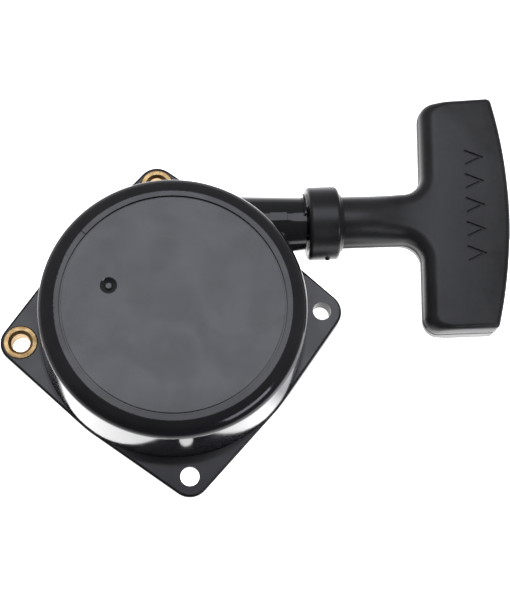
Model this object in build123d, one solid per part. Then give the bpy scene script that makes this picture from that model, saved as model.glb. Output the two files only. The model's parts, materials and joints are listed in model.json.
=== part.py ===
"""Recoil starter for a small engine, modelled piece by piece in millimetres.

The origin is the centre of the flange's mounting face. +Z points from the engine towards the
closed face of the case, and +X is the direction in which the rope is pulled.
"""
from build123d import *
from math import cos, radians, sin, sqrt
import os

# ---- Driving dimensions ----------------------------------------------------------------------

RUNNING_GAP = 0.1             # between parts that move against each other

# Case: flange, cup and outlet
BOLT_SQUARE = 60.0            # side of the square of bolt holes
BOLT_RADIUS = BOLT_SQUARE / sqrt(2)
BOLT_ANGLE = 4.0              # first hole, measured from the pull direction
BOLT_HOLE_RADIUS = 2.6
BUSH_RADIUS = 4.75            # outside of the brass flange bushes
BUSH_LEAD_IN = 0.8
FLANGE_THICK = 5.5
FLANGE_CORNER = 5.6           # corner rounding, centred on each bolt hole
FLANGE_ROUND = 37.4           # flange outline between the corners
CUP_BASE_RADIUS = 37.2
CUP_TOP_RADIUS = 35.75
CUP_TOP = 29.5
RIM_ROLL_WIDTH = 5.2          # the rim rolls over as a quarter ellipse
RIM_ROLL_DEPTH = 3.4
FACE_THICK = 2.6
FACE_GROOVE_RADIUS = 29.75
FACE_GROOVE_WIDTH = 0.55
FACE_GROOVE_DEPTH = 0.6
LEDGE = 16.4                  # step inside the cup that the spring cup rests on
CAVITY_RADIUS = 34.5
SPRING_BAY_RADIUS = 33.0
GATE_X, GATE_Y = -16.9, 5.3   # moulding gate on the closed face
GATE_RADIUS = 2.25            # bowl round the gate
GATE_DEPTH = 0.8
GATE_PIP_RADIUS = 0.8
TICK_ANGLE = 139.0            # witness tick across the flat ring outside the face groove
TICK_LENGTH = 1.8
TICK_WIDTH = 0.3

# Rope and pull axis
ROPE_RADIUS = 1.25
ROPE_PITCH = 2.55             # radial step from one layer of rope to the next
ROPE_TURNS = 4
ROPE_START = 0.6
ROPE_END = 83.0
KNOT_RADIUS = 3.0
KNOT_WASHER_THICK = 1.3
PULL_Y = 26.7                 # the rope leaves the reel at this distance from the reel's axis
PULL_Z = 12.5
OUTLET_RADIUS = 7.6           # at its end; it widens towards the cup
OUTLET_ROOT = 6.0
OUTLET_ROOT_RADIUS = 9.0
OUTLET_END = 38.0
LAND_START = 20.0             # flat land on top of the outlet
LAND_END = 32.6
LAND_WIDTH = 2.4
LAND_HEIGHT = 8.0             # above the pull axis
OUTLET_BORE = 2.4
SPIGOT_RADIUS = 5.0
SPIGOT_END = 44.0
COLLAR_START = 38.6
COLLAR_END = 48.4
COLLAR_RADIUS = 10.4
GUIDE_RADIUS = 3.4
GUIDE_BORE = 1.7

# Centre post and what it holds
POST_RADIUS = 5.0
POST_END = 2.9
POST_RIB_LENGTH = 4.0         # short ribs on the inside of the face, round the root of the post
POST_RIB_WIDTH = 1.6
POST_RIB_HEIGHT = 0.7
POST_RIB_COUNT = 6
INSERT_RADIUS = 2.6
THREAD_RADIUS = 1.65
INSERT_TOP = 15.0
WASHER_RADIUS = 8.0
WASHER_THICK = 1.2
SCREW_HEAD_THICK = 1.5
SCREW_HEAD_RADIUS = 4.2
RECESS_LENGTH = 4.4           # cross recess of the screw
RECESS_WIDTH = 0.9
RECESS_DEPTH = 0.9
BUSH_BORE = POST_RADIUS + 0.05
REEL_BORE = 7.0

# Reel
REEL_RADIUS = 31.5
REEL_BOTTOM = 8.5
GROOVE_BOTTOM = 10.9
GROOVE_TOP = 14.1
REEL_TOP = 15.3
HUB_RADIUS = 9.5
HUB_TOP = 25.2
CORE_RADIUS = 15.2
ANCHOR_RADIUS = 11.8          # rope anchor pocket, from the reel's axis

# Spring bay
CUP_SHEET = 0.8               # sheet thickness of the spring cup
STRIP_THICK = 0.5
STRIP_BOTTOM = 17.4
STRIP_TOP = 25.2
STRIP_INNER = 10.4
STRIP_TURNS = 7
STRIP_PITCH = 2.9
CATCH_ANGLE = 18.0            # the reel's catch and the strip's window

# Pawls and friction plate: the plate's slots are arcs, because plate and pawls turn equally
PAWL_PIVOT = 13.0
PAWL_LENGTH = 12.0
PAWL_REST_ANGLE = -95.0
PAWL_SWING = 30.0
PAWL_ROOT_RADIUS = 3.1
PAWL_TIP_RADIUS = 1.3
PAWL_BOTTOM = 4.45
PAWL_TOP = 8.3
FOLLOWER_REACH = 6.0
FOLLOWER_RADIUS = 1.1
PIVOT_RADIUS = 1.5
PLATE_RADIUS = 18.5
PLATE_BOTTOM = 2.95
PLATE_TOP = 4.25

# Grip
NECK_RADIUS = 7.45
NECK_START = COLLAR_END + 0.1
NECK_ROUND_END = 54.0         # from here the round neck flattens into the section of the crossbar
NECK_BLEND_END = 65.0
GRIP_FACE_X = 71.35           # neck side of the crossbar, on its centre line
GRIP_OUTER_X = 96.3           # outermost point of the crossbar
GRIP_ARCH = 4.3               # how far the outer side bows out between its ends
GRIP_CENTRE_Y = 27.5
GRIP_HALF = 34.2
GRIP_THICK = 11.4
GRIP_LEAN = 3.8               # the crossbar leans by this angle, its ends stay parallel to the pull
GRIP_CORNER = 5.2             # plan rounding at the neck's root and at the ends
GRIP_SOFT_EDGE = 4.6
GRIP_OUTER_EDGE = 1.8
PLUG_LENGTH = 19.0
PLUG_HEIGHT = 6.8
PLUG_BACK = 90.0
PLUG_PROUD = 0.35
CHAMBER_RADIUS = 4.2          # hollow for the knot behind the plug
CHAMBER_START = 80.0
MARK_X = 85.9                 # row of engraved pull marks
MARK_CENTRE_Y = 29.0
MARK_STEP = 7.2
MARK_COUNT = 5
MARK_ARM = 5.2
MARK_ANGLE = 24.0
MARK_STROKE = 0.55
MARK_DEPTH = 0.5


def polar(radius, angle, z=0.0):
    """Point at a radius and an angle in degrees about the Z axis."""
    return (radius * cos(radians(angle)), radius * sin(radians(angle)), z)


def ring(outer, inner, bottom, top):
    """Plain ring about the Z axis."""
    height = top - bottom
    solid = Cylinder(outer, height, align=(Align.CENTER, Align.CENTER, Align.MIN))
    solid -= Cylinder(inner, height, align=(Align.CENTER, Align.CENTER, Align.MIN))
    return Pos(0, 0, bottom) * solid


def rod_z(radius, bottom, top):
    """Cylinder about the Z axis."""
    return Pos(0, 0, bottom) * Cylinder(radius, top - bottom, align=(Align.CENTER, Align.CENTER, Align.MIN))


def rod_x(radius, start, end):
    """Cylinder along the pull axis."""
    upright = Cylinder(radius, end - start, align=(Align.CENTER, Align.CENTER, Align.MIN))
    return Pos(start, PULL_Y, PULL_Z) * Rot(0, 90, 0) * upright


def turned(points):
    """Solid of revolution about Z from (radius, z) corners."""
    outline = Polyline([(radius, 0, z) for radius, z in points], close=True)
    return revolve(make_face(outline), Axis.Z)


def turned_on_pull(points):
    """Solid of revolution about the pull axis from (x, radius) corners."""
    outline = Polyline([(x, radius, 0) for x, radius in points], close=True)
    return Pos(0, PULL_Y, PULL_Z) * revolve(make_face(outline), Axis.X)


def wide_circles(solid, radius):
    """Circular edges of at least the given radius."""
    return solid.edges().filter_by(GeomType.CIRCLE).filter_by(lambda edge: edge.radius >= radius)


def bolt_centres():
    """The four corners of the square of bolt holes."""
    return [polar(BOLT_RADIUS, BOLT_ANGLE + 90 * corner) for corner in range(4)]


def bushed_centres():
    """The two neighbouring holes that carry brass bushes."""
    return bolt_centres()[1:3]


# ---- Case --------------------------------------------------------------------------------------

def flange():
    """Mounting plate: the hull of a large circle and one circle round each bolt hole."""
    circles = [CenterArc((0, 0), FLANGE_ROUND, 0, 360)]
    circles += [CenterArc(centre[:2], FLANGE_CORNER, 0, 360) for centre in bolt_centres()]
    plate = extrude(make_hull(circles), FLANGE_THICK)
    return fillet(plate.edges().group_by(Axis.Z)[-1], 0.7)


def cup_shell():
    """Outside of the cup: a slightly tapered wall whose rim rolls over into the closed face."""
    roll_start = CUP_TOP - RIM_ROLL_DEPTH
    roll_centre = CUP_TOP_RADIUS - RIM_ROLL_WIDTH
    roll = [(roll_centre + RIM_ROLL_WIDTH * cos(radians(angle)), 0,
             roll_start + RIM_ROLL_DEPTH * sin(radians(angle))) for angle in range(0, 91, 15)]
    outline = [Line((0, 0, CUP_TOP), (0, 0, 1)), Line((0, 0, 1), (CUP_BASE_RADIUS, 0, 1)),
               Line((CUP_BASE_RADIUS, 0, 1), roll[0]),
               Spline(roll, tangents=[(0, 0, 1), (-1, 0, 0)]), Line(roll[-1], (0, 0, CUP_TOP))]
    return revolve(make_face(outline), Axis.Z)


def outlet():
    """Rope outlet: round tube with a flat land at its root, an end lip and a spigot."""
    tube = turned_on_pull([
        (OUTLET_ROOT, 0), (OUTLET_ROOT, OUTLET_ROOT_RADIUS), (OUTLET_END, OUTLET_RADIUS), (OUTLET_END, 0)])
    land = Pos(LAND_START, PULL_Y - 0.3, PULL_Z) * Box(
        LAND_END - LAND_START, LAND_WIDTH, LAND_HEIGHT, align=(Align.MIN, Align.CENTER, Align.MIN))
    lip = rod_x(OUTLET_RADIUS + 1.3, OUTLET_END - 0.6, OUTLET_END)
    lip &= Pos(0, PULL_Y, 0) * Box(200, 100, 100, align=(Align.CENTER, Align.MIN, Align.CENTER))
    return tube + land + lip + rod_x(SPIGOT_RADIUS, OUTLET_END - 1, SPIGOT_END)


def cavity():
    """Hollow of the cup: reel bay, ledge and spring bay."""
    return turned([
        (0, -1), (CAVITY_RADIUS, -1), (CAVITY_RADIUS, LEDGE), (SPRING_BAY_RADIUS, LEDGE),
        (SPRING_BAY_RADIUS, CUP_TOP - FACE_THICK), (0, CUP_TOP - FACE_THICK)])


def post_ribs():
    """Short ribs that tie the root of the centre post to the inside of the face."""
    rib = Pos(POST_RADIUS - 1, 0, CUP_TOP - FACE_THICK - POST_RIB_HEIGHT) * Box(
        POST_RIB_LENGTH, POST_RIB_WIDTH, 2 * POST_RIB_HEIGHT, align=(Align.MIN, Align.CENTER, Align.MIN))
    return [Rot(0, 0, 360 / POST_RIB_COUNT * turn) * rib for turn in range(POST_RIB_COUNT)]


def gate(body):
    """Adds the moulding gate: a shallow round bowl with a pip at its centre."""
    bowl_radius = (GATE_RADIUS ** 2 + GATE_DEPTH ** 2) / (2 * GATE_DEPTH)
    body -= Pos(GATE_X, GATE_Y, CUP_TOP + bowl_radius - GATE_DEPTH) * Sphere(bowl_radius)
    pip = rod_z(GATE_PIP_RADIUS, CUP_TOP - GATE_DEPTH - 0.2, CUP_TOP - GATE_DEPTH / 3)
    return body + Pos(GATE_X, GATE_Y, 0) * pip


def case():
    """The whole moulding: flange, cup, outlet and centre post."""
    body = flange() + cup_shell() + outlet() - cavity()
    body += rod_z(POST_RADIUS, POST_END, CUP_TOP - 1)
    body += post_ribs()
    body -= rod_z(INSERT_RADIUS, POST_END - 1, INSERT_TOP)
    body -= rod_x(OUTLET_BORE, 10, SPIGOT_END + 1)
    body -= rod_x(GUIDE_RADIUS, OUTLET_END, SPIGOT_END + 1)
    body -= ring(FACE_GROOVE_RADIUS + FACE_GROOVE_WIDTH / 2, FACE_GROOVE_RADIUS - FACE_GROOVE_WIDTH / 2,
                 CUP_TOP - FACE_GROOVE_DEPTH, CUP_TOP + 1)
    body -= Rot(0, 0, TICK_ANGLE) * Pos(FACE_GROOVE_RADIUS, 0, CUP_TOP) * Box(
        TICK_LENGTH, TICK_WIDTH, FACE_GROOVE_DEPTH, align=(Align.MIN, Align.CENTER, Align.CENTER))
    body = gate(body)
    for centre in bolt_centres():
        radius = BUSH_RADIUS if centre in bushed_centres() else BOLT_HOLE_RADIUS
        body -= Pos(centre) * rod_z(radius, -1, FLANGE_THICK + 1)
    return body


def flange_bushes():
    """Brass bushes of two neighbouring bolt holes, with a wide lead-in."""
    bush = ring(BUSH_RADIUS, BOLT_HOLE_RADIUS, 0, FLANGE_THICK + 0.15)
    bush = chamfer(bush.edges().group_by(Axis.Z)[-1].sort_by(SortBy.RADIUS)[0], BUSH_LEAD_IN)
    bush = chamfer(bush.edges().group_by(Axis.Z)[-1].sort_by(SortBy.RADIUS)[-1], 0.25)
    return [Pos(centre) * bush for centre in bushed_centres()]


def rope_guide():
    """Flanged eyelet in the spigot, with rounded mouths for the rope."""
    sleeve = rod_x(GUIDE_RADIUS, OUTLET_END, SPIGOT_END + 0.6)
    sleeve -= rod_x(GUIDE_BORE, OUTLET_END - 1, SPIGOT_END + 1)
    mouths = sleeve.edges().filter_by(GeomType.CIRCLE).filter_by(lambda edge: edge.radius < GUIDE_BORE + 0.1)
    return fillet(mouths, 0.6)


def rope_collar():
    """Rubber buffer pushed over the spigot; the neck of the grip seats against its end lip."""
    body = turned_on_pull([
        (COLLAR_START, SPIGOT_RADIUS), (COLLAR_START, COLLAR_RADIUS), (COLLAR_END - 0.9, COLLAR_RADIUS),
        (COLLAR_END - 0.9, NECK_RADIUS + 1.3), (COLLAR_END, NECK_RADIUS + 0.7), (COLLAR_END, GUIDE_RADIUS),
        (SPIGOT_END + 0.7, GUIDE_RADIUS), (SPIGOT_END + 0.7, SPIGOT_RADIUS)])
    body = fillet(wide_circles(body, COLLAR_RADIUS - 0.01), 1.1)
    nub = Pos(44.0, PULL_Y - COLLAR_RADIUS, PULL_Z) * Sphere(0.7)
    return body + nub


# ---- Centre post hardware ----------------------------------------------------------------------

def post_insert():
    """Threaded brass insert, its thread drawn as a plain bore."""
    return ring(INSERT_RADIUS, THREAD_RADIUS, POST_END, INSERT_TOP)


def centre_washer():
    """Washer that keeps reel and friction plate on the post."""
    return ring(WASHER_RADIUS, THREAD_RADIUS + 0.35, POST_END - WASHER_THICK, POST_END)


def centre_screw():
    """Pan-head screw with a cross recess, driven from below."""
    head_top = POST_END - WASHER_THICK
    head_bottom = head_top - SCREW_HEAD_THICK
    head = rod_z(SCREW_HEAD_RADIUS, head_bottom, head_top)
    head = fillet(head.edges().group_by(Axis.Z)[0], 0.9)
    for turn in (0, 90):
        head -= Pos(0, 0, head_bottom) * Rot(0, 0, turn) * Box(RECESS_LENGTH, RECESS_WIDTH, 2 * RECESS_DEPTH)
    return head + rod_z(THREAD_RADIUS - RUNNING_GAP / 2, head_top - 0.2, INSERT_TOP - 2)


def thrust_washer():
    """Washer between the reel's hub and the inside of the face."""
    return ring(HUB_RADIUS - 0.5, POST_RADIUS + RUNNING_GAP, HUB_TOP + RUNNING_GAP, HUB_TOP + 0.8)


# ---- Spring bay --------------------------------------------------------------------------------

def spring_cup():
    """Thin steel cup that keeps the spring away from the reel; its rim holds the outer hook."""
    inner, seat = HUB_RADIUS + 0.5, CAVITY_RADIUS - 0.1
    rim_outer = SPRING_BAY_RADIUS - 0.05
    rim_inner = rim_outer - CUP_SHEET
    floor_bottom, floor_top = LEDGE - 0.7, LEDGE + 0.1
    rim_top = STRIP_TOP + 0.6
    shell = turned([
        (inner, floor_bottom), (seat, floor_bottom), (seat, LEDGE), (rim_outer, LEDGE),
        (rim_outer, rim_top), (rim_inner, rim_top), (rim_inner, floor_top), (inner, floor_top)])
    slot = Pos(rim_outer, 0, STRIP_BOTTOM - 0.2) * Box(
        4 * CUP_SHEET, STRIP_THICK + 0.3, CUP_TOP, align=(Align.CENTER, Align.CENTER, Align.MIN))
    return shell - slot


def spiral(start_radius, turns):
    """Flat spiral of half circles that ends on the +X axis at start_radius plus the pitch gained."""
    arcs = []
    for half in range(2 * turns):
        radius = start_radius + half * STRIP_PITCH / 2
        centre = 0.0 if half % 2 == 0 else STRIP_PITCH / 2
        arcs.append(CenterArc((centre, 0), radius, 180 * (half % 2), 180))
    return arcs


def recoil_spring():
    """Flat spiral strip: a window near its inner end for the reel's catch, a hook at the outer end."""
    inner_wall = spiral(STRIP_INNER, STRIP_TURNS)
    outer_wall = spiral(STRIP_INNER + STRIP_THICK, STRIP_TURNS)
    inner_tip = STRIP_INNER + STRIP_TURNS * STRIP_PITCH
    edges = inner_wall + outer_wall
    edges.append(Line((STRIP_INNER, 0), (STRIP_INNER + STRIP_THICK, 0)))
    edges.append(Line((inner_tip, 0), (inner_tip + STRIP_THICK, 0)))
    face = make_face(edges)
    strip = Pos(0, 0, STRIP_BOTTOM) * extrude(face, STRIP_TOP - STRIP_BOTTOM)
    hook_end = SPRING_BAY_RADIUS - 0.1
    hook = Pos(inner_tip, 0, STRIP_BOTTOM) * Box(
        hook_end - inner_tip, STRIP_THICK, STRIP_TOP - STRIP_BOTTOM, align=(Align.MIN, Align.CENTER, Align.MIN))
    window = Rot(0, 0, CATCH_ANGLE) * Pos(STRIP_INNER, 0, (STRIP_BOTTOM + STRIP_TOP) / 2) * Box(3, 2.6, 3.4)
    return strip + hook - window


# ---- Reel --------------------------------------------------------------------------------------

def reel():
    """Grooved reel with its spring hub, rope anchor pocket and pivot pin holes."""
    body = turned([
        (REEL_BORE, REEL_BOTTOM), (REEL_RADIUS - 0.6, REEL_BOTTOM), (REEL_RADIUS, REEL_BOTTOM + 0.6),
        (REEL_RADIUS, GROOVE_BOTTOM - 0.6), (REEL_RADIUS - 0.5, GROOVE_BOTTOM), (CORE_RADIUS, GROOVE_BOTTOM),
        (CORE_RADIUS, GROOVE_TOP), (REEL_RADIUS - 0.5, GROOVE_TOP), (REEL_RADIUS, GROOVE_TOP + 0.5),
        (REEL_RADIUS, REEL_TOP), (HUB_RADIUS, REEL_TOP), (HUB_RADIUS, HUB_TOP), (REEL_BORE, HUB_TOP)])
    catch = Pos(HUB_RADIUS, 0, (STRIP_BOTTOM + STRIP_TOP) / 2) * Box(1.4, 2.0, 2.6)
    body += Rot(0, 0, CATCH_ANGLE) * catch
    body -= Pos(0, ANCHOR_RADIUS, 0) * rod_z(2.5, REEL_BOTTOM - 1, GROOVE_TOP - 0.4)
    passage = Cylinder(ROPE_RADIUS + 0.25, 6, align=(Align.CENTER, Align.CENTER, Align.MIN))
    body -= Pos(0, ANCHOR_RADIUS, PULL_Z) * Rot(-90, 0, 0) * passage
    for side in (0, 180):
        body -= Pos(polar(PAWL_PIVOT, side)) * rod_z(PIVOT_RADIUS, REEL_BOTTOM - 1, GROOVE_TOP - 0.6)
    pocket = extrude(make_face(pocket_outline()), 1.0)
    for turn in range(8):
        body -= Rot(0, 0, 22.5 + 45 * turn) * Pos(0, 0, REEL_BOTTOM) * pocket
    return body


def pocket_outline(inner=23.0, outer=29.5, half_angle=17.0):
    """Outline of one lightening pocket in the reel's underside."""
    near_a, near_b = polar(inner, -half_angle), polar(inner, half_angle)
    far_a, far_b = polar(outer, -half_angle), polar(outer, half_angle)
    return [ThreePointArc(near_a, polar(inner, 0), near_b), Line(near_b, far_b),
            ThreePointArc(far_b, polar(outer, 0), far_a), Line(far_a, near_a)]


def reel_bush():
    """Bearing sleeve pressed into the reel."""
    return ring(REEL_BORE, BUSH_BORE, REEL_BOTTOM, HUB_TOP)


def rope_path():
    """Wound rope: half circles that step inwards, starting where the straight rope leaves."""
    arcs = []
    for half in range(2 * ROPE_TURNS):
        radius = PULL_Y - half * ROPE_PITCH / 2
        if half % 2 == 0:
            arcs.append(CenterArc((0, 0), radius, 90, 180))
        else:
            arcs.append(CenterArc((0, -ROPE_PITCH / 2), radius, 270, 180))
    return arcs


def rope_coil():
    """Rope wound in the groove, and its inner end turning into the anchor pocket."""
    coil = None
    for arc in rope_path():
        turn = sweep(Plane(arc @ 0, z_dir=arc % 0) * Circle(ROPE_RADIUS), arc)
        coil = turn if coil is None else coil + turn
    end_y = PULL_Y - ROPE_TURNS * ROPE_PITCH
    coil += Pos(0, end_y, 0) * Sphere(ROPE_RADIUS)
    tail = Cylinder(ROPE_RADIUS, end_y - ANCHOR_RADIUS - 2.0, align=(Align.CENTER, Align.CENTER, Align.MIN))
    coil += Pos(0, end_y, 0) * Rot(90, 0, 0) * tail
    return Pos(0, 0, PULL_Z) * coil


def knot(radius):
    """Overhand knot as a bead with two crossing bulges."""
    bead = Sphere(radius * 0.82)
    lump = Torus(radius * 0.55, radius * 0.42)
    return bead + lump + Rot(90, 0, 35) * lump


def anchor_knot():
    """Knot that holds the rope's inner end in the reel's pocket."""
    return Pos(0, ANCHOR_RADIUS - 0.2, PULL_Z - 0.7) * knot(1.9)


def pawl_pins():
    """Pivot pins of the two pawls, pressed into the reel."""
    pin = rod_z(PIVOT_RADIUS, PLATE_TOP + 0.1, GROOVE_TOP - 0.6)
    pin = chamfer(pin.edges().group_by(Axis.Z)[0], 0.2)
    return [Pos(polar(PAWL_PIVOT, side)) * pin for side in (0, 180)]


# ---- Pawls and friction plate ------------------------------------------------------------------

def pawl(side):
    """Ratchet pawl on its pivot pin, with a follower pin that runs in the friction plate."""
    tip = polar(PAWL_LENGTH, PAWL_REST_ANGLE)
    shape = make_hull([
        CenterArc((0, 0), PAWL_ROOT_RADIUS, 0, 360), CenterArc(tip[:2], PAWL_TIP_RADIUS, 0, 360)])
    body = extrude(shape, PAWL_TOP - PAWL_BOTTOM)
    body = fillet(body.edges().group_by(Axis.Z)[0], 0.4)
    body = Pos(0, 0, PAWL_BOTTOM) * body
    follower = rod_z(FOLLOWER_RADIUS, PLATE_BOTTOM + RUNNING_GAP, PAWL_BOTTOM + 1)
    body += Pos(polar(FOLLOWER_REACH, PAWL_REST_ANGLE)) * follower
    body -= rod_z(PIVOT_RADIUS + 0.05, 0, PAWL_TOP + 1)
    return Rot(0, 0, side) * Pos(PAWL_PIVOT, 0, 0) * body


def friction_plate():
    """Disc whose arc slots swing the pawls out when the reel turns ahead of it."""
    body = ring(PLATE_RADIUS, POST_RADIUS + 0.08, PLATE_BOTTOM, PLATE_TOP)
    body = fillet(wide_circles(body, PLATE_RADIUS - 0.1), 0.4)
    offset = polar(FOLLOWER_REACH, PAWL_REST_ANGLE)
    slot_path = CenterArc(offset[:2], PAWL_PIVOT, -PAWL_SWING, PAWL_SWING)
    slot = extrude(SlotArc(slot_path, 2 * FOLLOWER_RADIUS + 0.3), 10)
    relief = extrude(SlotArc(CenterArc((0, 0), 10.5, 55, 50), 3.2), 10)
    for side in (0, 180):
        body -= Rot(0, 0, side) * slot
        body -= Rot(0, 0, side) * relief
    return body


def friction_spring():
    """Compression spring round the post that presses the friction plate on to its washer."""
    wire = 0.4
    bottom = PLATE_TOP + wire + 0.05
    height = REEL_BOTTOM - wire - 0.05 - bottom
    path = Helix(pitch=height / 3, height=height, radius=6.3)
    coil = sweep(Plane(path @ 0, z_dir=path % 0) * Circle(wire), path, is_frenet=True)
    return Pos(0, 0, bottom) * coil


# ---- Grip --------------------------------------------------------------------------------------

def lean_shift(y):
    """How far the leaning crossbar has moved along X at a given Y."""
    return (y - GRIP_CENTRE_Y) * sin(radians(GRIP_LEAN))


def crossbar_outline():
    """Plan of the crossbar: straight neck side, ends parallel to the pull, arched outer side."""
    low, high = GRIP_CENTRE_Y - GRIP_HALF, GRIP_CENTRE_Y + GRIP_HALF
    inner_low = (GRIP_FACE_X + lean_shift(low), low)
    inner_high = (GRIP_FACE_X + lean_shift(high), high)
    outer_low = (GRIP_OUTER_X - GRIP_ARCH + lean_shift(low), low)
    outer_high = (GRIP_OUTER_X - GRIP_ARCH + lean_shift(high), high)
    return [Line(inner_low, inner_high), Line(inner_high, outer_high),
            ThreePointArc(outer_high, (GRIP_OUTER_X, GRIP_CENTRE_Y), outer_low), Line(outer_low, inner_low)]


def grip_plan():
    """Plan of crossbar and neck root, rounded on the neck side."""
    root = Pos(NECK_BLEND_END, PULL_Y) * Rectangle(
        GRIP_OUTER_X - GRIP_ARCH - NECK_BLEND_END - 5, 2 * NECK_RADIUS, align=(Align.MIN, Align.CENTER))
    plan = make_face(crossbar_outline()) + root
    corners = plan.vertices().sort_by(Axis.X)[2:6]
    return fillet(corners, GRIP_CORNER)


def grip_neck():
    """Round neck, and its change into the flatter section at the root of the crossbar."""
    across = Plane((0, PULL_Y, 0), x_dir=(0, 1, 0), z_dir=(1, 0, 0))
    round_end = across.offset(NECK_ROUND_END) * Circle(NECK_RADIUS)
    flat_end = across.offset(NECK_BLEND_END) * RectangleRounded(2 * NECK_RADIUS, GRIP_THICK, GRIP_SOFT_EDGE)
    straight = extrude(round_end, NECK_START - NECK_ROUND_END)
    return straight + loft([round_end, flat_end])


def grip_body():
    """Crossbar and neck in one: softly rounded on the neck side and ends, crisper on the outer side."""
    block = extrude(grip_plan(), GRIP_THICK / 2, both=True)
    levels = block.edges().group_by(Axis.Z)
    rims = (levels[0] + levels[-1]).sort_by(Axis.X)
    block = fillet(rims[2:-2], GRIP_SOFT_EDGE)
    levels = block.edges().group_by(Axis.Z)
    block = fillet((levels[0] + levels[-1]).sort_by(Axis.X)[-2:], GRIP_OUTER_EDGE)
    return block + grip_neck()


def pull_marks():
    """Row of engraved chevrons that point along the pull."""
    arm = Box(MARK_ARM, MARK_STROKE, 2 * MARK_DEPTH, align=(Align.MAX, Align.CENTER, Align.CENTER))
    chevron = Rot(0, 0, MARK_ANGLE) * arm + Rot(0, 0, -MARK_ANGLE) * arm
    marks = []
    for index in range(MARK_COUNT):
        y = MARK_CENTRE_Y + MARK_STEP * (index - (MARK_COUNT - 1) / 2)
        marks.append(Pos(MARK_X + lean_shift(y) + MARK_ARM / 2, y, GRIP_THICK / 2) * chevron)
    return marks


def grip():
    """Grip with its rope bore, knot chamber, plug seat and pull marks."""
    body = Pos(0, 0, PULL_Z) * grip_body()
    body -= rod_x(ROPE_RADIUS + 0.15, NECK_START - 1, CHAMBER_START + 1)
    body -= rod_x(CHAMBER_RADIUS, CHAMBER_START, PLUG_BACK + 1)
    body -= plug_prism(0.05)
    for mark in pull_marks():
        body -= Pos(0, 0, PULL_Z) * mark
    return body


def plug_prism(gap=0.0):
    """Long pad with rounded ends that marks out the plug in the crossbar's outer side."""
    pad = Box(12.0, PLUG_LENGTH + 2 * gap, PLUG_HEIGHT + 2 * gap, align=(Align.MIN, Align.CENTER, Align.CENTER))
    pad = fillet(pad.edges().filter_by(Axis.X), PLUG_HEIGHT / 2 - 0.1)
    return Pos(PLUG_BACK - gap, PULL_Y, PULL_Z) * pad


def grip_plug():
    """Plug that closes the knot chamber and stands just proud of the outer side."""
    block = extrude(make_face(crossbar_outline()), GRIP_THICK / 2, both=True)
    return plug_prism() & Pos(PLUG_PROUD, 0, PULL_Z) * block


def rope_lead():
    """Straight rope from the reel, through outlet and neck, to the knot in the grip."""
    return rod_x(ROPE_RADIUS, ROPE_START, ROPE_END)


def knot_washer():
    """Washer that spreads the pull of the knot."""
    washer_end = CHAMBER_START + KNOT_WASHER_THICK
    washer = rod_x(CHAMBER_RADIUS - 0.3, CHAMBER_START + 0.1, washer_end)
    return washer - rod_x(ROPE_RADIUS + 0.05, CHAMBER_START, washer_end)


def grip_knot():
    """Knot at the rope's outer end."""
    centre = Pos(ROPE_END + 1.6, PULL_Y, PULL_Z)
    return centre * Rot(0, 90, 0) * knot(KNOT_RADIUS) - rod_x(ROPE_RADIUS, CHAMBER_START, ROPE_END)


# ---- Export ------------------------------------------------------------------------------------

NODES = {
    "case": case,
    "flange_bushes": flange_bushes,
    "rope_guide": rope_guide,
    "rope_collar": rope_collar,
    "post_insert": post_insert,
    "centre_washer": centre_washer,
    "centre_screw": centre_screw,
    "thrust_washer": thrust_washer,
    "spring_cup": spring_cup,
    "recoil_spring": recoil_spring,
    "reel": reel,
    "reel_bush": reel_bush,
    "rope_coil": rope_coil,
    "anchor_knot": anchor_knot,
    "pawl_pins": pawl_pins,
    "friction_spring": friction_spring,
    "friction_plate": friction_plate,
    "pawl_1": lambda: pawl(0),
    "pawl_2": lambda: pawl(180),
    "grip": grip,
    "grip_plug": grip_plug,
    "rope_lead": rope_lead,
    "knot_washer": knot_washer,
    "grip_knot": grip_knot,
}


def main():
    os.makedirs("parts", exist_ok=True)
    for name, build in NODES.items():
        shape = build()
        if isinstance(shape, list):
            shape = Compound(children=shape)
        export_step(shape, f"parts/{name}.step")


main()
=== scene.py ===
"""Looks, light and camera for the recoil starter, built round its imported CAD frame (metres)."""
import json
from math import cos, pi, radians, sin

import bmesh
import bpy
from mathutils import Matrix, Vector


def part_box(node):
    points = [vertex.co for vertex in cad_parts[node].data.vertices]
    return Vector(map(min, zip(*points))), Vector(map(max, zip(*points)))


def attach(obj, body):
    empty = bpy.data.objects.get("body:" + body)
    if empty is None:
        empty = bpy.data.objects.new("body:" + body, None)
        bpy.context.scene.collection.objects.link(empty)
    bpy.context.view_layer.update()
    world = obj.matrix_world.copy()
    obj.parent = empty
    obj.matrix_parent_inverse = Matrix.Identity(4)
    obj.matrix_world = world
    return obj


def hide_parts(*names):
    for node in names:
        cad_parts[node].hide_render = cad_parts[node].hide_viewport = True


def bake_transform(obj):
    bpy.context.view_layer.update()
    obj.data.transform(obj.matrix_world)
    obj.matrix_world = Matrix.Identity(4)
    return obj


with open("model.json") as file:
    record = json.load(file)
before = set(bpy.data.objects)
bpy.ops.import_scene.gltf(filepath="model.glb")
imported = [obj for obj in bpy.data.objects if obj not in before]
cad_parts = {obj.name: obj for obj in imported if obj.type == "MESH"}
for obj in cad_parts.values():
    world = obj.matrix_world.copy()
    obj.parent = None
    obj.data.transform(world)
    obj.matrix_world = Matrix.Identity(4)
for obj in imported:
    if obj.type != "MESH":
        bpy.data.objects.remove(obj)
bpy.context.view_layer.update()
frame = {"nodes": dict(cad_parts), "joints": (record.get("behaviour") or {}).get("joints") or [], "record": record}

MM = 0.001

# ---- Places taken from the frame ---------------------------------------------------------------

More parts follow.
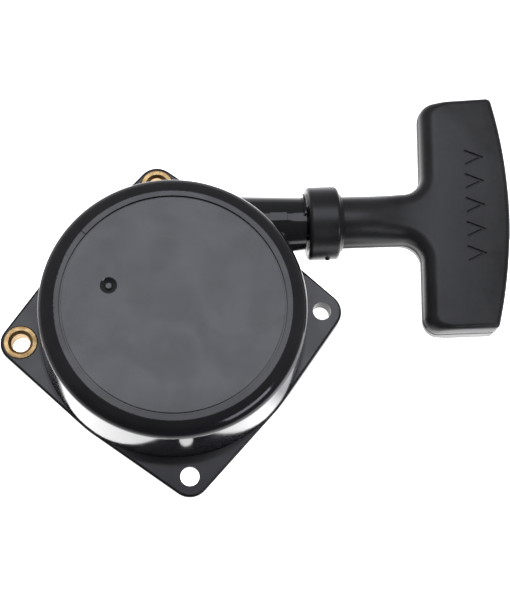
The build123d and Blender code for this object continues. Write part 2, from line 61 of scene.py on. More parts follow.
ROPE_LOW, ROPE_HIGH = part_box("rope_lead")
ROPE_RADIUS = (ROPE_HIGH.z - ROPE_LOW.z) / 2
PULL_Y = (ROPE_LOW.y + ROPE_HIGH.y) / 2
PULL_Z = (ROPE_LOW.z + ROPE_HIGH.z) / 2
COLLAR_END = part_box("rope_collar")[1].x
GRIP_LOW, GRIP_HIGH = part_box("grip")
GATE = Vector((-16.9, 5.3, 0)) * MM      # moulding gate, where the flow streaks start
PULL_RANGE = next(joint for joint in frame["joints"] if joint["name"] == "handle_pull")["range_m"][1]


# ---- Node helpers ------------------------------------------------------------------------------

class Look:
    """A node material under construction: one Principled shader fed by object coordinates."""

    def __init__(self, name, color, roughness, metallic=0.0):
        self.material = bpy.data.materials.new(name)
        self.material.use_nodes = True
        self.tree = self.material.node_tree
        self.shader = self.tree.nodes["Principled BSDF"]
        self.shader.inputs["Base Color"].default_value = (*color, 1)
        self.shader.inputs["Roughness"].default_value = roughness
        self.shader.inputs["Metallic"].default_value = metallic
        self.coords = self.node("ShaderNodeTexCoord").outputs["Object"]
        self.normal = None

    def node(self, kind, **inputs):
        """New node with inputs fed by name; an underscore stands for a space."""
        made = self.tree.nodes.new(kind)
        for name, value in inputs.items():
            self.feed(made.inputs[name.replace("_", " ")], value)
        return made

    def feed(self, socket, value):
        """Links a socket or sets a plain value."""
        if isinstance(value, bpy.types.NodeSocket):
            self.tree.links.new(value, socket)
        else:
            socket.default_value = value

    def math(self, operation, first, second=0.0):
        """Result of one math operation on sockets or numbers."""
        made = self.tree.nodes.new("ShaderNodeMath")
        made.operation = operation
        self.feed(made.inputs[0], first)
        self.feed(made.inputs[1], second)
        return made.outputs[0]

    def noise(self, scale, detail=4.0, roughness=0.5, vector=None):
        """Noise between 0 and 1; scale is in features per metre."""
        made = self.node("ShaderNodeTexNoise", Scale=scale, Detail=detail, Roughness=roughness,
                         Vector=vector or self.coords)
        return made.outputs["Fac"]

    def ramp(self, factor, low, high, start=0.0, end=1.0):
        """factor mapped from start..end to low..high, held at both ends."""
        made = self.node("ShaderNodeMapRange", Value=factor)
        made.inputs["From Min"].default_value = start
        made.inputs["From Max"].default_value = end
        made.inputs["To Min"].default_value = low
        made.inputs["To Max"].default_value = high
        return made.outputs["Result"]

    def mix_color(self, factor, first, second):
        """Colour between first (factor 0) and second (factor 1)."""
        made = self.tree.nodes.new("ShaderNodeMix")
        made.data_type = "RGBA"
        self.feed(made.inputs["Factor"], factor)
        self.feed(made.inputs[6], first if isinstance(first, bpy.types.NodeSocket) else (*first, 1))
        self.feed(made.inputs[7], second if isinstance(second, bpy.types.NodeSocket) else (*second, 1))
        return made.outputs[2]

    def bump(self, height, distance, strength=1.0):
        """Adds relief of a given depth in metres on top of the relief so far."""
        made = self.node("ShaderNodeBump", Height=height, Distance=distance, Strength=strength)
        if self.normal is not None:
            self.tree.links.new(self.normal, made.inputs["Normal"])
        self.normal = made.outputs["Normal"]

    def soft_edges(self, radius):
        """Rounds sharp edges in the shading by a small radius."""
        made = self.tree.nodes.new("ShaderNodeBevel")
        made.samples = 4
        made.inputs["Radius"].default_value = radius
        if self.normal is not None:
            self.tree.links.new(self.normal, made.inputs["Normal"])
        self.normal = made.outputs["Normal"]

    def set(self, name, value):
        """Feeds an input of the shader."""
        self.feed(self.shader.inputs[name], value)

    def done(self):
        """The finished material, with its relief connected."""
        if self.normal is not None:
            self.tree.links.new(self.normal, self.shader.inputs["Normal"])
        return self.material


def polar_round(look, centre):
    """(angle, radius) sockets about a vertical line through centre."""
    shifted = look.node("ShaderNodeVectorMath")
    shifted.operation = "SUBTRACT"
    look.feed(shifted.inputs[0], look.coords)
    shifted.inputs[1].default_value = centre
    parts = look.node("ShaderNodeSeparateXYZ", Vector=shifted.outputs[0])
    x, y = parts.outputs["X"], parts.outputs["Y"]
    angle = look.math("ARCTAN2", y, x)
    radius = look.math("SQRT", look.math("ADD", look.math("MULTIPLY", x, x), look.math("MULTIPLY", y, y)))
    return angle, radius


# ---- Materials ---------------------------------------------------------------------------------

FACE_RADIUS = 29.7 * MM       # the face inside the groove is polished, the rim a little duller
WALL_RADIUS = 35.6 * MM       # the wall is the dullest part, between rim and flange
FLANGE_RADIUS = 37.4 * MM


def case_plastic():
    """Glossy black moulding: flow streaks fanning out from the gate, faint sink and dust."""
    look = Look("case_plastic", (0.010, 0.010, 0.012), 0.08)
    angle, radius = polar_round(look, GATE)
    fan = look.node("ShaderNodeCombineXYZ", X=look.math("MULTIPLY", angle, 2.2),
                    Y=look.math("MULTIPLY", radius, 26.0), Z=0.0)
    streaks = look.noise(2.3, 5.0, 0.55, fan.outputs[0])
    patches = look.noise(45.0, 3.0, 0.5)
    dust = look.noise(2600.0, 2.0, 0.7)
    blend = look.math("ADD", look.math("MULTIPLY", streaks, 0.65), look.math("MULTIPLY", patches, 0.35))
    look.set("Base Color", look.mix_color(look.ramp(blend, 0.0, 1.0, 0.35, 0.65), (0.009, 0.009, 0.011),
                                          (0.013, 0.013, 0.015)))
    from_axis = polar_round(look, Vector((0, 0, 0)))[1]
    polish = look.ramp(from_axis, 0.48, 0.40, FACE_RADIUS, FACE_RADIUS + 0.3 * MM)
    wall = look.ramp(from_axis, 1.0, 0.60, WALL_RADIUS - 0.4 * MM, WALL_RADIUS)
    beyond = look.ramp(from_axis, 0.0, 0.25, FLANGE_RADIUS, FLANGE_RADIUS + 0.4 * MM)
    polish = look.math("MULTIPLY", polish, look.math("ADD", wall, beyond))
    # painted shade on the front (-Y) side: the case reflects less there
    front = look.node("ShaderNodeSeparateXYZ", Vector=look.coords).outputs["Y"]
    reflect_by_y = look.ramp(front, 0.42, 1.0, -44 * MM, -22 * MM)
    look.set("Specular IOR Level", look.math("MULTIPLY", look.math("MULTIPLY", polish, reflect_by_y), sinks(look)))
    rough = look.ramp(blend, 0.07, 0.15, 0.35, 0.65)
    speck = look.ramp(dust, 0.0, 0.12, 0.70, 0.80)
    look.set("Roughness", look.math("ADD", rough, speck))
    look.bump(look.noise(160.0, 2.0), 0.00002, 0.3)
    look.soft_edges(0.00015)
    return look.done()


def sinks(look):
    """Faint light and dark fields in the polish: clouds, warped by a slow swirl, with firm edges."""
    swirl = look.noise(38.0, 2.0, 0.5)
    drift = look.node("ShaderNodeCombineXYZ", X=look.math("MULTIPLY", swirl, 0.03),
                      Y=look.math("MULTIPLY", swirl, 0.05))
    warped = look.node("ShaderNodeVectorMath")
    warped.operation = "MULTIPLY_ADD"
    look.feed(warped.inputs[0], look.coords)
    warped.inputs[1].default_value = (1.0, 1.0, 0.0)
    look.feed(warped.inputs[2], drift.outputs[0])
    fields = look.noise(70.0, 2.5, 0.5, warped.outputs[0])
    fine = look.noise(260.0, 4.0, 0.6)
    broad = look.ramp(fields, 0.92, 1.05, 0.42, 0.58)
    return look.math("MULTIPLY", broad, look.ramp(fine, 0.97, 1.03, 0.35, 0.65))


def grip_rubber():
    """Satin black rubber with a fine eroded grain and slightly polished high spots."""
    look = Look("grip_rubber", (0.014, 0.014, 0.015), 0.42)
    cloud = look.noise(90.0, 5.0, 0.6)
    grain = look.noise(3800.0, 3.0, 0.6)
    look.set("Base Color", look.mix_color(look.ramp(cloud, 0.0, 1.0, 0.3, 0.7), (0.011, 0.011, 0.012),
                                          (0.018, 0.018, 0.019)))
    look.set("Roughness", look.ramp(cloud, 0.28, 0.38, 0.3, 0.7))
    # reflections grow stronger along the bar towards its high end (+Y)
    along_bar = look.node("ShaderNodeSeparateXYZ", Vector=look.coords).outputs["Y"]
    reflect_by_y = look.ramp(along_bar, 0.74, 1.06, 0.0, 55 * MM)
    look.set("Specular IOR Level", look.math("MULTIPLY", reflect_by_y, look.ramp(cloud, 0.26, 0.36, 0.3, 0.7)))
    look.bump(grain, 0.00003, 0.5)
    look.bump(look.noise(420.0, 2.0), 0.00005, 0.3)
    look.soft_edges(0.0003)
    return look.done()


def plug_plastic():
    """Black plug, a little duller than the case."""
    look = Look("plug_plastic", (0.02, 0.02, 0.022), 0.35)
    look.set("Roughness", look.ramp(look.noise(600.0), 0.28, 0.45, 0.3, 0.7))
    look.bump(look.noise(2500.0), 0.00003, 0.5)
    look.soft_edges(0.0002)
    return look.done()


def turned_metal(name, bright, dull, roughness, marks):
    """Metal with fine turning marks about the vertical and a patchy tarnish."""
    look = Look(name, bright, roughness, 1.0)
    cloud = look.noise(260.0, 5.0, 0.65)
    look.set("Base Color", look.mix_color(look.ramp(cloud, 0.0, 1.0, 0.35, 0.7), bright, dull))
    look.set("Roughness", look.ramp(cloud, roughness * 0.75, roughness * 1.35, 0.3, 0.7))
    look.bump(look.noise(marks, 2.0, 0.5), 0.00002, 0.5)
    look.soft_edges(0.00025)
    return look.done()


def reel_plastic():
    """Glass-filled nylon: dark grey with short pale fibres."""
    look = Look("reel_plastic", (0.05, 0.05, 0.055), 0.45)
    fibres = look.noise(3200.0, 2.0, 0.7)
    look.set("Base Color", look.mix_color(look.ramp(fibres, 0.0, 1.0, 0.60, 0.72), (0.040, 0.041, 0.046),
                                          (0.12, 0.12, 0.125)))
    look.set("Roughness", look.ramp(look.noise(150.0), 0.38, 0.55, 0.3, 0.7))
    look.bump(fibres, 0.00003, 0.5)
    look.soft_edges(0.0003)
    return look.done()


def pawl_plastic():
    """Natural nylon, slightly translucent."""
    look = Look("pawl_plastic", (0.62, 0.60, 0.54), 0.32)
    cloud = look.ramp(look.noise(200.0), 0.0, 1.0, 0.3, 0.7)
    look.set("Base Color", look.mix_color(cloud, (0.64, 0.62, 0.56), (0.54, 0.52, 0.46)))
    look.set("Subsurface Weight", 0.15)
    look.set("Subsurface Scale", 0.002)
    look.bump(look.noise(1500.0), 0.00003, 0.4)
    look.soft_edges(0.0003)
    return look.done()


def rope_fibre():
    """Charcoal polyester strands with a pale tracer, fine fibres across each strand."""
    look = Look("rope", (0.08, 0.08, 0.085), 0.75)
    tracer = look.tree.nodes.new("ShaderNodeAttribute")
    tracer.attribute_name = "tracer"
    fine = look.noise(5200.0, 3.0, 0.7)
    strand = look.mix_color(look.ramp(fine, 0.0, 1.0, 0.3, 0.7), (0.095, 0.095, 0.10), (0.05, 0.05, 0.055))
    look.set("Base Color", look.mix_color(tracer.outputs["Fac"], strand, (0.45, 0.44, 0.41)))
    look.set("Sheen Weight", 0.25)
    look.bump(fine, 0.00006, 0.6)
    return look.done()


LOOKS = {
    "case_plastic": case_plastic,
    "grip_rubber": grip_rubber,
    "plug_plastic": plug_plastic,
    "brass": lambda: turned_metal("brass", (0.50, 0.345, 0.165), (0.30, 0.195, 0.085), 0.42, 1800.0),
    "zinc_steel": lambda: turned_metal("zinc_steel", (0.62, 0.62, 0.60), (0.44, 0.45, 0.46), 0.30, 900.0),
    "spring_steel": lambda: turned_metal("spring_steel", (0.20, 0.22, 0.27), (0.10, 0.10, 0.12), 0.32, 700.0),
    "bronze": lambda: turned_metal("bronze", (0.48, 0.31, 0.16), (0.26, 0.17, 0.09), 0.45, 2400.0),
    "reel_plastic": reel_plastic,
    "pawl_plastic": pawl_plastic,
    "rope": rope_fibre,
}


def dress_cad():
    """Gives every CAD node the material of its slot in the record."""
    made = {slot: build() for slot, build in LOOKS.items()}
    for part in frame["record"]["subparts"]:
        node = frame["nodes"][part["node"]]
        node.data.materials.clear()
        node.data.materials.append(made[part["material_slot"]])
    return made


# ---- Braided rope ------------------------------------------------------------------------------

BRAID_STRANDS = 8
BRAID_PITCH = 9 * MM          # length in which a strand goes once round
BRAID_SIDES = 24
BRAID_STEP = 0.55 * MM
CLEAR_OF_COIL = 12 * MM       # the rope starts where the turning coil can't reach it


def braid_radius(angle, along):
    """Radius of the braid's surface: two sets of strands that wind opposite ways and cross."""
    turn = 2 * pi * along / BRAID_PITCH
    half = BRAID_STRANDS / 2
    left = abs(sin(half * (angle - turn) / 2))
    right = abs(sin(half * (angle + turn) / 2))
    over = 0.5 + 0.5 * cos(half * angle) * cos(half * turn)
    return ROPE_RADIUS * (0.86 + 0.14 * (over * left + (1 - over) * right))


def is_tracer(angle, along):
    """One strand of the left-hand set carries the dark tracer."""
    turn = 2 * pi * along / BRAID_PITCH
    return 1.0 if (angle - turn) % (2 * pi) < 2 * pi / BRAID_STRANDS * 0.8 else 0.0


def braid_mesh(name, frames):
    """Tube through (centre, side, up, distance along) frames with a braided surface."""
    mesh = bpy.data.meshes.new(name)
    form = bmesh.new()
    tracer = form.verts.layers.float.new("tracer")
    rings = []
    for centre, side, up, along in frames:
        ring = []
        for index in range(BRAID_SIDES):
            angle = 2 * pi * index / BRAID_SIDES
            radius = braid_radius(angle, along)
            vertex = form.verts.new(centre + radius * (cos(angle) * side + sin(angle) * up))
            vertex[tracer] = is_tracer(angle, along)
            ring.append(vertex)
        rings.append(ring)
    for near, far in zip(rings, rings[1:]):
        for index in range(BRAID_SIDES):
            after = (index + 1) % BRAID_SIDES
            form.faces.new((near[index], near[after], far[after], far[index]))
    form.faces.new(reversed(rings[0]))
    form.faces.new(rings[-1])
    bmesh.ops.recalc_face_normals(form, faces=form.faces)
    for face in form.faces:
        face.smooth = len(face.verts) == 4
    form.to_mesh(mesh)
    form.free()
    piece = bpy.data.objects.new(name, mesh)
    bpy.context.scene.collection.objects.link(piece)
    return piece


def inverse_smoothstep(value):
    """The t at which 3t^2 - 2t^3 equals value."""
    low, high = 0.0, 1.0
    for _ in range(40):
        middle = (low + high) / 2
        if middle * middle * (3 - 2 * middle) < value:
            low = middle
        else:
            high = middle
    return (low + high) / 2


def pull_rope(material):
    """Straight rope; in the stretch hidden in buffer and neck its braid is packed closer, by the length of the
    grip's pull.
    """
    side, up = Vector((0, 1, 0)), Vector((0, 0, 1))
    stretch_start = COLLAR_END - 2 * MM
    stretch_end = ROPE_HIGH.x - 4 * MM
    length = stretch_end - stretch_start

    def frames_between(start, end, shift):
        """Evenly spaced frames of a stretch that keeps its length."""
        steps = max(2, round((end - start) / BRAID_STEP))
        for step in range(steps):
            x = start + (end - start) * step / steps
            yield Vector((x, PULL_Y, PULL_Z)), side, up, x + shift

    frames = list(frames_between(CLEAR_OF_COIL, stretch_start, 0.0))
    steps = round((length + PULL_RANGE) / BRAID_STEP)
    for step in range(steps):
        share = step / steps
        x = stretch_start + length * inverse_smoothstep(share)
        along = stretch_start + (length + PULL_RANGE) * share
        frames.append((Vector((x, PULL_Y, PULL_Z)), side, up, along))
    frames += frames_between(stretch_end, ROPE_HIGH.x, PULL_RANGE)
    rope = braid_mesh("pull_rope", frames)
    rope.data.materials.append(material)
    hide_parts("rope_lead")
    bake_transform(rope)


# ---- Grip --------------------------------------------------------------------------------------
# Close to the CAD grip's outline, but with an edge whose roundness changes along the way: fully
# round on the neck, broad on the fingers' side, crisp round the ends and the outer side.

NECK_START = GRIP_LOW.x
NECK_RADIUS = (GRIP_HIGH.z - GRIP_LOW.z) / 2
NECK_FLATTENS = (52 * MM, 70 * MM)       # the neck's height falls to the crossbar's between these
FACE_X = 71.35 * MM                      # neck side of the crossbar, on its centre line
OUTER_X = 96.3 * MM
OUTER_ARCH = 4.3 * MM
BAR_CENTRE_Y = 27.45 * MM
BAR_HALF = 34.55 * MM
HIGH_END_SLANT = 0.9 * MM                # the high end falls away towards the neck side
BAR_HALF_THICK = 5.7 * MM
BAR_LEAN = radians(3.8)
ROOT_ROUND = 5.4 * MM                    # plan roundings
FINGER_CORNER = 4.2 * MM
OUTER_CORNER = 1.6 * MM
FINGER_EDGE = 4.3 * MM                   # edge roundings
CRISP_EDGE = 1.5 * MM
STATION = 0.5 * MM
EDGE_STEPS = 9
FLASH_PROUD, FLASH_HALF = 0.10 * MM, 0.12 * MM    # parting line round the middle


def lean_shift(y):
    """How far the leaning crossbar has moved along X at a given Y."""
    return (y - BAR_CENTRE_Y) * sin(BAR_LEAN)


def outer_side(steps=24):
    """Points of the bowed outer side, from its low end to its high end."""
    points = []
    for step in range(steps + 1):
        across = 2 * step / steps - 1
        y = BAR_CENTRE_Y + across * BAR_HALF
        points.append(Vector((OUTER_X - OUTER_ARCH * across * across + lean_shift(y), y)))
    return points


def rounded_corner(before, corner, after, radius, steps=14):
    """Arc that replaces a corner between two straight runs."""
    back, ahead = (before - corner).normalized(), (after - corner).normalized()
    half = back.angle(ahead) / 2
    reach = radius / (sin(half) / cos(half))
    centre = corner + (back + ahead).normalized() * radius / sin(half)
    start, end = corner + back * reach - centre, corner + ahead * reach - centre
    points = []
    for step in range(steps + 1):
        share = step / steps
        mixed = start * (1 - share) + end * share
        points.append(centre + mixed.normalized() * radius)
    return points


def grip_outline():
    """Plan of the grip as an open run of points, from the neck's low side round to its high side."""
    low, high = BAR_CENTRE_Y - BAR_HALF, BAR_CENTRE_Y + BAR_HALF
    neck_low, neck_high = PULL_Y - NECK_RADIUS, PULL_Y + NECK_RADIUS
    outer = outer_side()
    start, end = Vector((NECK_START, neck_low)), Vector((NECK_START, neck_high))
    root_low = Vector((FACE_X + lean_shift(neck_low), neck_low))
    root_high = Vector((FACE_X + lean_shift(neck_high), neck_high))
    end_low = Vector((FACE_X + lean_shift(low), low))
    end_high = Vector((FACE_X + lean_shift(high), high - HIGH_END_SLANT))
    points = [start]
    points += rounded_corner(start, root_low, end_low, ROOT_ROUND)
    points += rounded_corner(root_low, end_low, outer[0], FINGER_CORNER)
    points += rounded_corner(end_low, outer[0], outer[1], OUTER_CORNER)
    points += outer[2:-2]
    points += rounded_corner(outer[-2], outer[-1], end_high, OUTER_CORNER)
    points += rounded_corner(outer[-1], end_high, root_high, FINGER_CORNER)
    points += rounded_corner(end_high, root_high, end, ROOT_ROUND)
    points.append(end)
    return points


def evenly_spaced(points, spacing):
    """The same run with its points an equal distance apart."""
    lengths = [(after - before).length for before, after in zip(points, points[1:])]
    total = sum(lengths)
    count = round(total / spacing)
    spaced, index, passed = [], 0, 0.0
    for step in range(count + 1):
        target = total * step / count
        while index < len(lengths) - 1 and passed + lengths[index] < target:
            passed += lengths[index]
            index += 1
        share = (target - passed) / lengths[index]
        spaced.append(points[index].lerp(points[index + 1], min(max(share, 0.0), 1.0)))
    return spaced


def smooth_between(value, start, end):
    """Eased share of the way from start to end, held at 0 and 1."""
    share = min(max((value - start) / (end - start), 0.0), 1.0)
    return share * share * (3 - 2 * share)


def edge_roundness(point):
    """Edge rounding at a point of the outline: neck, then fingers' side, then the crisp outer parts."""
    neck_share = 1 - smooth_between(point.x, NECK_START + 6 * MM, FACE_X)
    behind_face = point.x - FACE_X - lean_shift(point.y)
    crisp_share = smooth_between(behind_face, -0.5 * MM, 2 * FINGER_CORNER)
    on_bar = FINGER_EDGE + (CRISP_EDGE - FINGER_EDGE) * crisp_share
    return on_bar + (NECK_RADIUS * 0.995 - on_bar) * neck_share


def half_height(x):
    """The round neck flattens into the crossbar."""
    return NECK_RADIUS + (BAR_HALF_THICK - NECK_RADIUS) * smooth_between(x, *NECK_FLATTENS)


def edge_section(roundness, height):
    """(depth inwards, z) from the lower rim over the parting line to the upper rim."""
    upright = min(roundness, height)
    upper = [(roundness * (1 - cos(angle)), height - upright + upright * sin(angle))
             for angle in (pi / 2 * step / EDGE_STEPS for step in range(1, EDGE_STEPS + 1))]
    middle = [(0.0, -FLASH_HALF), (-FLASH_PROUD, 0.0), (0.0, FLASH_HALF)]
    return [(depth, -z) for depth, z in reversed(upper)] + middle + upper


def grip_form():
    """Solid grip: edge sections lofted round the plan, with flat caps above and below."""
    run = evenly_spaced(grip_outline(), STATION)
    form = bmesh.new()
    sections = []
    for index, point in enumerate(run):
        before, after = run[max(index - 1, 0)], run[min(index + 1, len(run) - 1)]
        ahead = (after - before).normalized()
        inward = Vector((-ahead.y, ahead.x))
        height = half_height(point.x)
        section = []
        for depth, z in edge_section(edge_roundness(point), height):
            place = point + inward * depth
            section.append(form.verts.new((place.x, place.y, PULL_Z + z)))
        sections.append(section)
    for near, far in zip(sections, sections[1:]):
        for index in range(len(near) - 1):
            form.faces.new((near[index], far[index], far[index + 1], near[index + 1]))
    form.faces.new(sections[0] + list(reversed(sections[-1])))
    root_end = PULL_Y - NECK_RADIUS - ROOT_ROUND
    paired = sum(1 for point in run[:len(run) // 2] if point.y > root_end)
    for level in (0, -1):
        rim = [section[level] for section in sections]
        for index in range(paired):
            form.faces.new((rim[index], rim[index + 1], rim[-index - 2], rim[-index - 1]))
        form.faces.new(rim[paired:-paired])
    bmesh.ops.recalc_face_normals(form, faces=form.faces)
    return form


ROPE_BORE = 1.4 * MM
CHAMBER_RADIUS = 4.2 * MM
CHAMBER_START, CHAMBER_END = 80 * MM, 91 * MM
PLUG_LOW, PLUG_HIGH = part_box("grip_plug")
MARK_X = 85.9 * MM                       # engraved chevrons that point along the pull
MARK_CENTRE_Y = 29 * MM
MARK_STEP = 7.2 * MM
MARK_COUNT = 5
MARK_ARM = 5.2 * MM
MARK_ANGLE = radians(24)
MARK_STROKE = 0.55 * MM
MARK_DEPTH = 0.5 * MM


def solid_between(form, outline, low, high, flat_to_place):
    """Closed prism: an outline of (u, v) pairs between two levels, put in place by a function."""
    bottom = [form.verts.new(flat_to_place(u, v, low)) for u, v in outline]
    top = [form.verts.new(flat_to_place(u, v, high)) for u, v in outline]
    form.faces.new(list(reversed(bottom)))
    form.faces.new(top)
    for index in range(len(outline)):
        after = (index + 1) % len(outline)
        form.faces.new((bottom[index], bottom[after], top[after], top[index]))


def circle_points(radius, steps=40):
    """Outline of a circle round the pull axis."""
    angles = [2 * pi * step / steps for step in range(steps)]
    return [(radius * cos(angle), radius * sin(angle)) for angle in angles]


def along_pull(u, v, x):
    """Place of a flat outline point that is drawn square to the pull axis."""
    return (x, PULL_Y + u, PULL_Z + v)


def plug_outline(gap=0.05 * MM, steps=14):
    """Long pad with round ends, a hair larger than the plug."""
    radius = (PLUG_HIGH.z - PLUG_LOW.z) / 2 + gap
    straight = (PLUG_HIGH.y - PLUG_LOW.y) / 2 + gap - radius
    points = []
    for side in (1, -1):
        for step in range(steps + 1):
            angle = pi / 2 - pi * step / steps
            points.append((side * (straight + radius * cos(angle)), side * radius * sin(angle)))
    return points


def chevron_outline():
    """V of one stroke width with its point towards +X."""
    tip = MARK_STROKE / 2 / sin(MARK_ANGLE)
    reach = Vector((-MARK_ARM * cos(MARK_ANGLE), MARK_ARM * sin(MARK_ANGLE)))
    across = Vector((sin(MARK_ANGLE), cos(MARK_ANGLE))) * MARK_STROKE / 2
    outer, inner = reach + across, reach - across
    return [(tip, 0.0), tuple(outer), tuple(inner), (-tip, 0.0), (inner.x, -inner.y), (outer.x, -outer.y)]


def hollow_forms():
    """What is cut out of the grip: the plug's seat, the knot chamber and the rope bore."""
    for outline, start, end in (
            (plug_outline(), PLUG_LOW.x - 0.05 * MM, PLUG_HIGH.x + 5 * MM),
            (circle_points(CHAMBER_RADIUS), CHAMBER_START, CHAMBER_END),
            (circle_points(ROPE_BORE), NECK_START - MM, CHAMBER_START + MM)):
        form = bmesh.new()
        solid_between(form, outline, start, end, along_pull)
        yield form


def marks_form():
    """The row of chevrons that is cut into the grip's upper side."""
    form = bmesh.new()
    top = BAR_HALF_THICK + PULL_Z
    for index in range(MARK_COUNT):
        y = MARK_CENTRE_Y + MARK_STEP * (index - (MARK_COUNT - 1) / 2)
        x = MARK_X + lean_shift(y) + MARK_ARM / 2
        solid_between(form, chevron_outline(), top - MARK_DEPTH, top + MARK_DEPTH,
                      lambda u, v, z, x=x, y=y: (x + u, y + v, z))
    return form


def piece_from(form, name):
    """Turns a finished form into a piece of the scene."""
    bmesh.ops.recalc_face_normals(form, faces=form.faces)
    mesh = bpy.data.meshes.new(name)
    form.to_mesh(mesh)
    form.free()
    piece = bpy.data.objects.new(name, mesh)
    bpy.context.scene.collection.objects.link(piece)
    return piece


def cut(piece, cutter):
    """Cuts cutter out of piece for good."""
    step = piece.modifiers.new("cut", "BOOLEAN")
    step.operation = "DIFFERENCE"
    step.solver = "EXACT"
    step.object = cutter
    bpy.context.view_layer.update()
    seen = piece.evaluated_get(bpy.context.evaluated_depsgraph_get())
    mesh = bpy.data.meshes.new_from_object(seen)
    piece.modifiers.clear()
    piece.data = mesh
    bpy.data.objects.remove(cutter)


def grip(material):
    """The grip moulding with its hollow and its marks, in place of the CAD grip."""
    piece = piece_from(grip_form(), "grip_moulding")
    for form in hollow_forms():
        cut(piece, piece_from(form, "hollow"))
    cut(piece, piece_from(marks_form(), "marks"))
    piece.data.name = "grip_moulding"
    piece.data.materials.clear()
    piece.data.materials.append(material)
    piece.data.polygons.foreach_set("use_smooth", [True] * len(piece.data.polygons))
    piece.data.set_sharp_from_angle(angle=radians(38))
    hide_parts("grip")
    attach(piece, "handle")


# ---- Stage -------------------------------------------------------------------------------------

FLOOR_SIZE = 4.0
FLOOR_DROP = 0.0002                     # keeps the sheet clear of the flange
LIT_POOL_NEAR, LIT_POOL_FAR = 2.8, 0.30       # painted pool of light: how brightly the sheet glows near the object and away from it
LIT_POOL_CENTRE = Vector((0.045, -0.035, 0.0))
GLOW_START, GLOW_END = 0.075, 0.13      # distances between which the glow falls
SHADE_CENTRE = Vector((0.045, -0.012, 0.0))    # painted shadow patch beside the cup
SHADE_LEVEL = 0.15
SHADE_START, SHADE_END = 0.015, 0.024
LIGHT_COLOR = (0.89, 0.91, 1.0)
TOP_LIGHT = {"place": (0.06, 0.25, 1.0), "target": (0.03, 0.0, 0.0), "size": (0.64, 0.64), "power": 4.0}
RIM_LIGHT = {"place": (0.32, -0.33, 0.34), "target": (0.02, -0.01, 0.02), "size": (0.26, 0.14), "power": 0.75}
ROOM_DARK, ROOM_BRIGHT = 0.08, 0.42     # the room as reflections see it, towards -Y and towards +Y
ROOM_TURNS = (-0.75, 0.10)              # Y parts of the directions between which it brightens


def floor():
    """Plain white sheet, always white for the camera; in reflections and on the object it glows as a painted pool
    of light that dims away from the object, with a painted shadow beside the cup.
    """
    form = bmesh.new()
    bmesh.ops.create_grid(form, x_segments=4, y_segments=4, size=FLOOR_SIZE)
    mesh = bpy.data.meshes.new("floor")
    form.to_mesh(mesh)
    form.free()
    sheet = bpy.data.objects.new("floor", mesh)
    sheet.location.z = -FLOOR_DROP
    bpy.context.scene.collection.objects.link(sheet)
    look = Look("floor_sheet", (0.85, 0.85, 0.85), 0.7)
    # painted pool of light round the object; camera rays always see white
    distance = polar_round(look, LIT_POOL_CENTRE)[1]
    painted_glow = look.ramp(distance, LIT_POOL_NEAR, LIT_POOL_FAR, GLOW_START, GLOW_END)
    # painted shadow beside the cup, dimming the glow
    painted_shade = look.ramp(polar_round(look, SHADE_CENTRE)[1], SHADE_LEVEL, 1.0, SHADE_START, SHADE_END)
    painted_glow = look.math("MULTIPLY", painted_glow, painted_shade)
    seen = look.node("ShaderNodeLightPath").outputs["Is Camera Ray"]
    look.set("Emission Color", (1.0, 1.0, 1.0, 1.0))
    look.set("Emission Strength", look.math("MAXIMUM", painted_glow, seen))
    sheet.data.materials.append(look.done())


def softbox(name, place, target, size, power):
    """Rectangular studio light at a place, aimed at a target."""
    lamp = bpy.data.lights.new(name, "AREA")
    lamp.shape = "RECTANGLE"
    lamp.size, lamp.size_y = size
    lamp.energy = power
    lamp.color = LIGHT_COLOR
    holder = bpy.data.objects.new(name, lamp)
    holder.location = place
    holder.rotation_euler = (Vector(target) - Vector(place)).to_track_quat("-Z", "Y").to_euler()
    bpy.context.scene.collection.objects.link(holder)


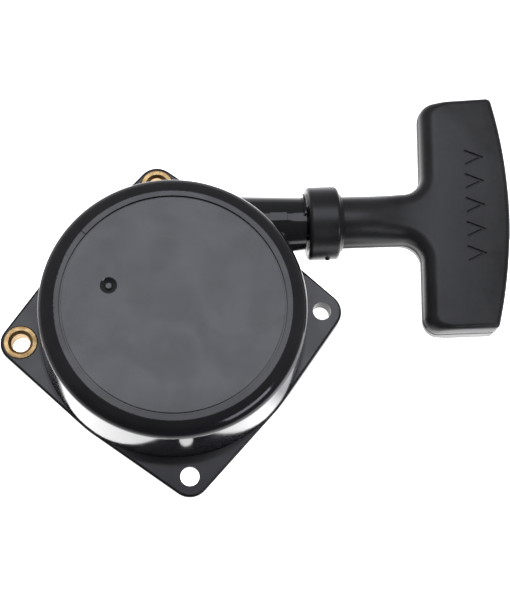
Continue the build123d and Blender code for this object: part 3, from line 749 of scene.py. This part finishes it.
def surroundings():
    """Pale for the camera; for reflections a grey room that is dark on the photographer's side."""
    world = bpy.data.worlds.new("studio")
    world.use_nodes = True
    tree = world.node_tree
    tree.nodes.clear()
    path = tree.nodes.new("ShaderNodeLightPath")
    direction = tree.nodes.new("ShaderNodeTexCoord")
    parts = tree.nodes.new("ShaderNodeSeparateXYZ")
    tree.links.new(direction.outputs["Generated"], parts.inputs[0])
    room = tree.nodes.new("ShaderNodeMapRange")
    tree.links.new(parts.outputs["Y"], room.inputs["Value"])
    room.inputs["From Min"].default_value, room.inputs["From Max"].default_value = ROOM_TURNS
    room.inputs["To Min"].default_value = ROOM_DARK
    room.inputs["To Max"].default_value = ROOM_BRIGHT
    seen, dim = tree.nodes.new("ShaderNodeBackground"), tree.nodes.new("ShaderNodeBackground")
    seen.inputs["Color"].default_value = (1.0, 1.0, 1.0, 1)
    tree.links.new(room.outputs["Result"], dim.inputs["Strength"])
    dim.inputs["Color"].default_value = (1.0, 1.0, 1.02, 1)
    mix = tree.nodes.new("ShaderNodeMixShader")
    out = tree.nodes.new("ShaderNodeOutputWorld")
    tree.links.new(path.outputs["Is Camera Ray"], mix.inputs[0])
    tree.links.new(dim.outputs[0], mix.inputs[1])
    tree.links.new(seen.outputs[0], mix.inputs[2])
    tree.links.new(mix.outputs[0], out.inputs[0])
    bpy.context.scene.world = world


# ---- Camera ------------------------------------------------------------------------------------

CAMERA_AZIMUTH = radians(-16.03)
CAMERA_ELEVATION = radians(73.08)
CAMERA_ROLL = radians(13.36)
CAMERA_AIM = Vector((23.16, 5.83, 9.15)) * MM
CAMERA_DISTANCE = 364.4 * MM
CAMERA_LENS = 78.0


def camera():
    """Looks down on the closed face, turned and rolled like the photographed view."""
    data = bpy.data.cameras.new("view")
    data.lens = CAMERA_LENS
    data.sensor_width = 36.0
    data.clip_start, data.clip_end = 0.01, 20.0
    holder = bpy.data.objects.new("view", data)
    flat = cos(CAMERA_ELEVATION)
    back = Vector((sin(CAMERA_AZIMUTH) * flat, -cos(CAMERA_AZIMUTH) * flat, sin(CAMERA_ELEVATION)))
    right = Vector((cos(CAMERA_AZIMUTH), sin(CAMERA_AZIMUTH), 0))
    up = back.cross(right)
    rolled_right = cos(CAMERA_ROLL) * right + sin(CAMERA_ROLL) * up
    rolled_up = cos(CAMERA_ROLL) * up - sin(CAMERA_ROLL) * right
    turn = Matrix((rolled_right, rolled_up, back)).transposed()
    holder.matrix_world = Matrix.Translation(CAMERA_AIM + CAMERA_DISTANCE * back) @ turn.to_4x4()
    bpy.context.scene.collection.objects.link(holder)
    bpy.context.scene.camera = holder


looks = dress_cad()
pull_rope(looks["rope"])
grip(looks["grip_rubber"])
floor()
surroundings()
softbox("top_light", **TOP_LIGHT)
softbox("rim_light", **RIM_LIGHT)
camera()
bpy.context.scene.view_settings.view_transform = "Standard"
